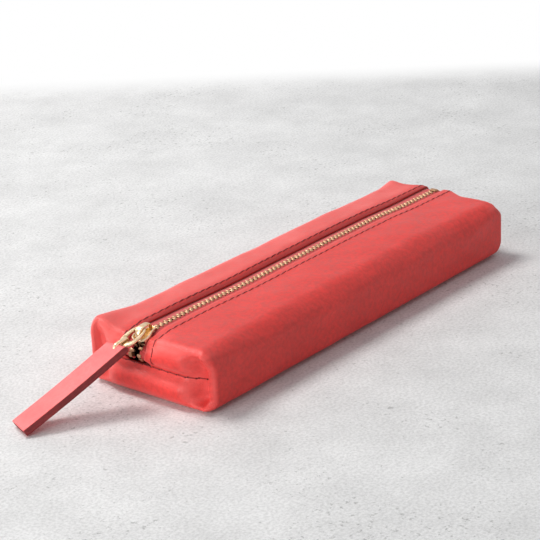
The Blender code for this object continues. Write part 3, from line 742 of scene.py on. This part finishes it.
for word, side in sides:
    end = tooth_run(side)[0] - clip_from_tooth
    start = end - stop_length
    shift = float(parting(end - stop_length / 2))
    clip_solid(f"end_clip_{word}", start, end, side, shift + 0.0001, shift + 0.0017, 0.0010, f"top_stop_{word}")
start = max(tooth_run(1)[-1], tooth_run(-1)[-1]) + clip_from_tooth
clip_solid("closed_end_clip", start, start + bottom_stop_length, 1, -0.0016, 0.0016, 0.00127, "bottom_stop")


# Slider
# Cast in zinc and plated pale gold: a shield-shaped top plate with a raised rim and a dished middle, a back
# plate inside the pouch, and the wedge between them that parts the rows. It leans down with the zip's end.
slider_length = 0.0103
back_plate_length = 0.0078
slider_half_width = 0.0035
slider_lean = math.radians(11.0)
slider_seat = 0.02170
row_top = 0.00115
clear = 0.0002
plate = 0.0007
way_closed = 0.00186
way_open = 0.00312
plate_under = row_top + clear
plate_top = plate_under + plate
back_under = -plate_top
slider_side = (
    (0.00, 0.00), (0.00, 0.16), (0.02, 0.30), (0.07, 0.38), (0.16, 0.44), (0.29, 0.56), (0.43, 0.76),
    (0.56, 0.93), (0.68, 1.00), (0.79, 0.99), (0.89, 0.84), (0.96, 0.58), (1.00, 0.28), (1.01, 0.12),
    (1.01, 0.00),
)
# Levels of the plates, from the bottom up: how far the outline is drawn in, and the height.
top_plate_levels = (
    (0.00020, plate_under - 0.0009), (0.0, plate_under - 0.0007), (0.0, plate_top - 0.00020),
    (0.00012, plate_top - 0.00002), (0.00032, plate_top + 0.00008), (0.00054, plate_top + 0.00002),
    (0.00072, plate_top - 0.00020), (0.00100, plate_top - 0.00040), (0.00150, plate_top - 0.00048),
)
back_plate_levels = (
    (0.00035, back_under), (0.00008, back_under + 0.0001), (0.0, back_under + 0.0004), (0.0, -0.0007),
)
pale_gold = metal_finish("pale_gold", (0.72, 0.56, 0.38), (0.60, 0.42, 0.25), 0.26)
amber_gold = metal_finish("amber_gold", (0.58, 0.26, 0.04), (0.38, 0.14, 0.02), 0.25)
golds = [pale_gold, amber_gold]
to_slider = Matrix.Translation((slider_tail, zip_line, slider_seat)) @ Matrix.Rotation(-slider_lean, 4, "Y")


def rounded(points, fineness):
    """A smooth curve through points."""
    points = np.asarray(points, float)
    padded = np.concatenate((points[:1], points, points[-1:]))
    curve = []
    for p0, p1, p2, p3 in zip(padded, padded[1:], padded[2:], padded[3:]):
        for t in np.arange(fineness) / fineness:
            curve.append(0.5 * (
                2 * p1 + (p2 - p0) * t + (2 * p0 - 5 * p1 + 4 * p2 - p3) * t * t
                + (3 * p1 - p0 - 3 * p2 + p3) * t ** 3
            ))
    return np.array(curve + [points[-1]])


def both_sides(shares, long_size, half_size):
    """A closed outline from one side's shares of its length and half width."""
    one = rounded(shares, 3) * (long_size, half_size)
    return np.concatenate((one, one[-2:0:-1] * (1, -1)))


def inset(outline, amount):
    """The outline moved inwards by an amount."""
    ahead = np.roll(outline, -1, axis=0) - np.roll(outline, 1, axis=0)
    ahead /= np.maximum(np.linalg.norm(ahead, axis=1, keepdims=True), 1e-9)
    inwards = np.stack((-ahead[:, 1], ahead[:, 0]), 1)
    area = np.sum(outline[:, 0] * np.roll(outline[:, 1], -1) - np.roll(outline[:, 0], -1) * outline[:, 1])
    return outline + inwards * amount * (1 if area > 0 else -1)


def stacked(name, loops, finishes, second_from=math.inf):
    """A closed solid from loops of equal count, one above another, that isn't set on a body yet.

    From the loop that second_from gives, its faces take the second finish.
    """
    around = len(loops[0])
    faces = skin(len(loops), around)
    marks = [int(n // around >= second_from) for n in range(len(faces))]
    marks[-2] = 0
    return mesh_object(name, np.concatenate(loops), faces, finishes, marks)


def plate_loops(reach, levels, bow=0.0):
    """Loops of the slider's outline at the levels given. Its ends lie lower than its middle by the bow."""
    outline = both_sides(slider_side, reach, slider_half_width)
    loops = []
    for amount, level in levels:
        ring = inset(outline, amount)
        lower = bow * (2 * ring[:, 0] / reach - 1.1) ** 2
        loops.append(np.stack((-ring[:, 0], -ring[:, 1], level - lower), 1))
    return loops


def slab(name, one_side, low, high):
    """A flat solid between two heights, from one side of its outline."""
    outline = [(-u, w) for u, w in one_side] + [(-u, -w) for u, w in one_side[::-1]]
    return stacked(name, [np.array([(x, y, level) for x, y in outline]) for level in (low, high)], golds)


def joined(base, other, operation):
    """Applies one solid to another and removes the one that was used."""
    step = base.modifiers.new(operation, "BOOLEAN")
    step.operation = operation
    step.solver = "EXACT"
    step.object = other
    bpy.context.view_layer.update()
    result = bpy.data.meshes.new_from_object(base.evaluated_get(bpy.context.evaluated_depsgraph_get()))
    base.modifiers.clear()
    base.data = result
    bpy.data.objects.remove(other)


# The way that the rows pass through, narrow where they are closed and wide where they have parted.
way = ((-0.002, way_closed), (spread_start, way_closed), (spread_end, way_open), (0.013, way_open))
wedge = ((0.0054, 0.00008), (0.0066, 0.00040), (0.0078, 0.00042), (0.0086, 0.00036), (0.0090, 0.00020))
slider = stacked("slider", plate_loops(slider_length, top_plate_levels, 0.00035), golds, 6)
joined(slider, slab("way_cut", way, -0.002, plate_under - 0.0002), "DIFFERENCE")
back = stacked("slider_back", plate_loops(back_plate_length, back_plate_levels), golds)
joined(back, slab("back_cut", way, back_under + plate, 0.0), "DIFFERENCE")
joined(back, slab("wedge", wedge, back_under + plate / 2, plate_top - plate * 0.8), "UNION")
joined(slider, back, "UNION")
slider.data.transform(to_slider)
shade(slider.data, 40)
settle(slider, "slider", "slider_body")


# Crown
# The domed bridge on top of the slider, riveted at both feet. The pull ring turns under it.
def tube(path, across, upward, outline, closed=False):
    """Points and faces of an outline swept along a path, with its own size at each step."""
    points = []
    total = len(path)
    for n in range(total):
        ahead = path[(n + 1) % total] if closed or n < total - 1 else path[n]
        behind = path[n - 1] if closed or n else path[n]
        forward = Vector(ahead - behind).normalized()
        sideways = forward.cross(Vector(upward[n])).normalized()
        out = sideways.cross(forward)
        for a, b in outline:
            points.append(path[n] + np.array(sideways) * a * across[n][0] + np.array(out) * b * across[n][1])
    return np.array(points), skin(total, len(outline), flip=True, closed=closed)


def oval(sides, power=1.0):
    """An outline of half size one, round at power 1 and squarer below it."""
    turn = np.arange(sides) * 2 * math.pi / sides
    return np.stack([np.sign(part) * np.abs(part) ** power for part in (np.cos(turn), np.sin(turn))], 1)


pivot = np.array((-0.0898, zip_line, 0.0246))
pivot_seat = to_slider.inverted() @ Vector(pivot)
crown_top = pivot_seat.z + 0.00072
crown_side = rounded((
    (-0.00190, plate_top - 0.0005), (-0.00195, plate_top + 0.0006), (-0.00225, plate_top + 0.0014),
    (-0.0032, crown_top - 0.00040), (-0.0047, crown_top - 0.00012), (-0.0063, crown_top),
    (-0.0078, crown_top - 0.00030), (-0.0087, crown_top - 0.0012), (-0.00905, plate_top + 0.0006),
    (-0.0091, plate_top - 0.0005),
), 5)
crown_path = np.stack((crown_side[:, 0], np.zeros(len(crown_side)), crown_side[:, 1]), 1)
along = np.linspace(0, 1, len(crown_path))
dome = np.sin(along ** 1.25 * math.pi) ** 0.7
crown_size = np.stack((mix(0.00080, 0.00132, dome), mix(0.00040, 0.00044, dome)), 1)
crown_up = [(0.35 - t * 0.7, 0, 1) if 0.15 < t < 0.85 else (1 if t < 0.5 else -1, 0, 0.3) for t in along]
points, faces = tube(crown_path, crown_size, crown_up, oval(14, 0.85))
crown = show("crown", points, faces, [pale_gold], "slider", "slider_crown", sharp_angle=60)
crown.data.transform(to_slider)


# Pull ring
# A flat pear-shaped ring, stamped and tumbled so that its edges are round. Its narrow end lies in the crown.
ring_length = 0.0102
ring_half_width = 0.0032
ring_thick = 0.00048
ring_droop = math.radians(15.5)
ring_roll = math.radians(7.0)
ring_outer = (
    (-0.065, 0.00), (-0.060, 0.28), (-0.02, 0.54), (0.07, 0.72), (0.20, 0.86), (0.40, 0.97),
    (0.58, 1.00), (0.77, 0.95), (0.92, 0.80), (1.02, 0.55), (1.07, 0.28), (1.085, 0.00),
)
ring_inner = (
    (0.065, 0.00), (0.068, 0.15), (0.085, 0.30), (0.13, 0.42), (0.24, 0.50), (0.40, 0.54),
    (0.54, 0.53), (0.64, 0.48), (0.72, 0.38), (0.77, 0.25), (0.79, 0.12), (0.795, 0.00),
)


def drooping(angle):
    """The direction along a flat piece that droops by an angle, and the direction out of its face."""
    across, down = math.cos(angle), math.sin(angle)
    return np.array((-across, 0.0, -down)), np.array((-down, 0.0, across))


level_across = np.array((0, 1, 0))
ring_along, face_up = drooping(ring_droop)
ring_across = level_across * math.cos(ring_roll) + face_up * math.sin(ring_roll)
ring_up = face_up * math.cos(ring_roll) - level_across * math.sin(ring_roll)
outer_line, inner_line = (both_sides(line, ring_length, ring_half_width) for line in (ring_outer, ring_inner))
ring_outline = oval(12, 0.72)
ring_points = []
for centre, reach in zip((outer_line + inner_line) / 2, (outer_line - inner_line) / 2):
    for a, b in ring_outline:
        u, w = centre + reach * a
        ring_points.append(pivot + ring_along * u + ring_across * w + ring_up * b * ring_thick)
show(
    "ring", ring_points, skin(len(outer_line), len(ring_outline), flip=True, closed=True), [pale_gold],
    "ring", "pull_ring", sharp_angle=70,
)


# Pull link
# A closed loop of thick gold wire. It joins the ring to the hole in the strip, and is narrower at the ring.
link_droop = math.radians(17.0)
link_wire = 0.00074
# The two rounded ends of the loop: how far out it reaches, its radius there and which way it faces.
link_ends = ((0.0049, 0.00185, 0.0), (-0.00195, 0.00122, math.pi))
ring_foot = pivot + ring_along * ring_length * 0.94
ring_foot[1] = zip_line + 0.0005
link_along, link_up = drooping(link_droop)
link_path = []
for end, radius, turn in link_ends:
    for angle in np.linspace(-math.pi / 2, math.pi / 2, 13):
        u = end - math.copysign(radius, end) + radius * math.cos(turn + angle)
        link_path.append(ring_foot + link_along * u + link_up * radius * math.sin(turn + angle))
wire_size, wire_up = np.full((len(link_path), 2), link_wire), [(0, 1, 0)] * len(link_path)
points, faces = tube(np.array(link_path), wire_size, wire_up, oval(14), closed=True)
show("link", points, faces, [pale_gold], "link", "pull_link", sharp_angle=60)


# Pull strip
# One length of the same leather, folded back on itself and glued, pierced near the fold and cut square at
# the tip. Its cut edges are painted dark red. It hangs a little twisted, and its tip rests on the table.
strip_width = 0.0102
strip_thickness = 0.0028
hole_radius = 0.00122
hole = ring_foot + link_along * 0.0048
strip_start = np.array((-0.1024, zip_line + 0.0010, hole[2] + 0.0007))
strip_end = np.array((-0.1391, 0.0192, strip_thickness / 2 + 0.0001))
start_yaw, end_yaw, start_roll = math.radians(9.0), math.radians(22.4), 0.10
half = strip_thickness / 2
strip_run = strip_end - strip_start
strip_length = float(np.linalg.norm(strip_run))
strip_ahead = strip_run / strip_length

# Edge paint: several coats of dark red, sanded between.
edge_paint, tree, shader = new_finish("edge_paint", (0.19, 0.011, 0.013), 0.6)
streak = node(tree, "TexNoise", Vector=node(tree, "TexCoord", out="Object"), Scale=500.0, Detail=3.0)
painted = ramp(tree, streak, (0.3, (0.15, 0.007, 0.009)), (0.7, (0.24, 0.016, 0.018)))
coats = node(tree, "Bump", Strength=0.2, Distance=0.0001, Height=streak)
wire(tree, shader, Base_Color=painted, Normal=coats)
# The strip takes a paler, pinker copy of the red leather: painted sheen for the light that its tilted top
# catches.
strip_red_painted_sheen = leather_finish(
    "strip_leather", (0.85, 0.145, 0.145), (0.90, 0.23, 0.23), (0.78, 0.11, 0.11), 0.42, 0.25,
)


def strip_frame(run):
    """The strip's middle, its width direction and its upward direction at a distance from the fold."""
    t = run / strip_length
    yaw = mix(start_yaw, end_yaw, t)
    across = np.array((math.sin(yaw), math.cos(yaw), -start_roll * (1 - t)))
    across -= strip_ahead * (across @ strip_ahead) * 0.5 * t
    across /= np.linalg.norm(across)
    out = np.cross(across, strip_ahead)
    out *= (1 if out[2] > 0 else -1) / np.linalg.norm(out)
    sag = out * 0.00035 * math.sin(math.pi * min(max(t, 0.0), 1.0))
    return strip_start + strip_run * t - sag, across, out


# Round the cross-section: from the middle of the top face, over the rounded edge, to the middle of the bottom.
section = [(share, 1.0) for share in (0.0, 0.25, 0.5, 0.7, 0.84, 0.93)]
section += [(0.972, 0.985), (0.99, 0.93), (1.0, 0.80), (1.0, 0.45), (0.996, 0.16), (0.985, 0.04)]
section = np.array(section)
ring_section = np.concatenate((
    section, section[::-1] * (1, -1), section[1:] * (-1, -1), (section[::-1] * (-1, 1))[:-1],
))
strip_rings = [(-half * math.sin(turn), math.cos(turn)) for turn in np.linspace(math.radians(84), 0, 6)]
strip_rings += [(strip_length * t, 1.0) for t in np.linspace(0, 1, 42)[1:]]
strip_rings[-1] = (strip_length - 0.00018, 1.0)
strip_rings += [(strip_length - 0.00004, 0.93), (strip_length, 0.80)]
strip_points = []
for run, grown in strip_rings:
    middle, across, out = strip_frame(run)
    for a, b in ring_section:
        strip_points.append(middle + across * a * strip_width / 2 + out * b * half * grown)
out_at = np.abs(ring_section[:, 0])
painted = [int(min(pair) > 0.98) for pair in zip(out_at, np.roll(out_at, -1))]
strip = show(
    "strip", strip_points, skin(len(strip_rings), len(ring_section)), [strip_red_painted_sheen, edge_paint],
    "strip", "pull_strip", painted * (len(strip_rings) - 1) + [0, 1], 50,
)
hole_across, hole_out = strip_frame(0.0018)[1:]
hole_ahead = np.cross(hole_out, hole_across)
punch = stacked("punch", [
    np.array([hole + hole_across * a + hole_ahead * b + hole_out * level for a, b in oval(24) * hole_radius])
    for level in (0.004, -0.004)
], [edge_paint])
joined(strip, punch, "DIFFERENCE")
shade(strip.data, 50)
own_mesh(strip)


# Stitching beside the zip
# Two rows of lock stitch in thick dark red thread. Each stitch lies a little askew and dives into an awl
# hole at both ends. The rows turn down over each end and stop at the end seam.
thread = 0.00021
stitch = 0.0039
stitch_fill = 0.74
zip_seam = 0.0072
seam_clear = 0.0016
awl_half_length = 0.00042
awl_half_width = 0.00034

# Waxed thread, twisted from three strands, and a near-black painted shade for the awl holes.
waxed_thread, tree, shader = new_finish("waxed_thread", (0.24, 0.018, 0.019), 0.6)
twist = node(
    tree, "TexWave", dict(bands_direction="DIAGONAL"), "Fac",
    Vector=node(tree, "TexCoord", out="Object"), Scale=900.0, Distortion=0.5,
)
dyed = ramp(tree, twist, (0.0, (0.17, 0.011, 0.012)), (1.0, (0.31, 0.030, 0.031)))
strands = node(tree, "Bump", Strength=0.5, Distance=0.00008, Height=twist)
wire(tree, shader, Base_Color=dyed, Normal=strands)
awl_hole_shade = new_finish("awl_hole_shade", (0.05, 0.004, 0.004), 0.9)[0]


def sew(name, surface, node_name, slant=0.00016, turn=1):
    """Stitches along a line on the leather, from surface(share of the line, sideways shift, outward shift).

    A turn of -1 is for a line that sees its sideways shift on its other hand, so that the awl holes face out.
    """
    line_shares = np.linspace(0, 1, 800)
    travelled = distances(surface(line_shares, 0.0, 0.0))
    total = max(1, round(travelled[-1] / stitch))
    points, faces, marks = [], [], []
    for n in range(total):
        path, size_at, ups, shares = [], [], [], []
        for t in (0.0, 0.06, 0.16, 0.32, 0.5, 0.68, 0.84, 0.94, 1.0):
            s = (n + 0.5 + (t - 0.5) * stitch_fill) / total * travelled[-1]
            shares.append(float(np.interp(s, travelled, line_shares)))
            lift = thread * (0.55 - 2.2 * abs(2 * t - 1) ** 5)
            over, under = (
                surface(np.array([shares[-1]]), slant * (2 * t - 1), level)[0] for level in (lift, lift - 0.001)
            )
            path.append(over)
            ups.append(over - under)
            grown = thread * (0.72 + 0.28 * math.sin(math.pi * t) ** 0.5)
            size_at.append((grown, grown * 0.92))
        made, around = tube(np.array(path), size_at, ups, oval(8))
        faces += [[len(points) + k for k in face] for face in around]
        points += list(made)
        marks += [0] * len(around)
        # At each end a flat near-black disc lies on the leather: painted shade for the awl hole.
        for share, way in ((shares[0], -1), (shares[-1], 1)):
            faces.append([len(points) + k for k in range(8)][::turn])
            marks.append(1)
            for a, b in oval(8):
                along = np.array([share + awl_half_length * a / travelled[-1]])
                points.append(surface(along, slant * way + awl_half_width * b, 0.00003)[0])
    show(name, points, faces, [waxed_thread, awl_hole_shade], "pouch", node_name, marks, 60)


seam_x, seam_z = zip_run(0.0003)
above_seam = seam_z >= seam_height + seam_clear
seam_x, seam_z = seam_x[above_seam], seam_z[above_seam]
seam_share = np.linspace(0, 1, len(seam_x))
for word, side in sides:
    def beside_zip(share, aside, lift):
        x, z = np.interp(share, seam_share, seam_x), np.interp(share, seam_share, seam_z)
        return leather_point(x, zip_line + side * zip_seam + aside, z, -lift)
    sew(f"zip_seam_{word}", beside_zip, f"zip_stitching_{word}")


# End seams
# One row of the same stitch closes each end at half height, deep between the two lips of leather. It runs
# straight across, past the zip's tapes, and stops short of the boxed corners.
end_seam_reach = half_width - crease - seam_clear
for end_word, end in ends:
    def across_end(share, aside, lift):
        y = mix(-end_seam_reach, end_seam_reach, share)
        point = leather_point(end * half_length, y, seam_height + aside, -lift)
        point[..., 1] = y
        return point
    sew(f"{end_word}_end_seam", across_end, f"{end_word}_end_stitching", 0.0001, end)


# Corner seams
# Inside each boxed corner an upright seam in the same thread holds the fold. It is sewn with the pouch
# inside out, so it shows only from inside.
corner_seam_low = 0.0085
corner_seam_high = 0.0150
for end_word, end in ends:
    for side_word, side in sides:
        def up_corner(share, aside, lift):
            y = side * (half_width - crease - leather) + aside
            z = mix(corner_seam_low, corner_seam_high, share)
            return leather_point(end * half_length, y, z, leather + lift)
        corner = f"{end_word}_{side_word}_corner"
        sew(f"{corner}_seam", up_corner, f"{corner}_stitching", 0.0001, end)
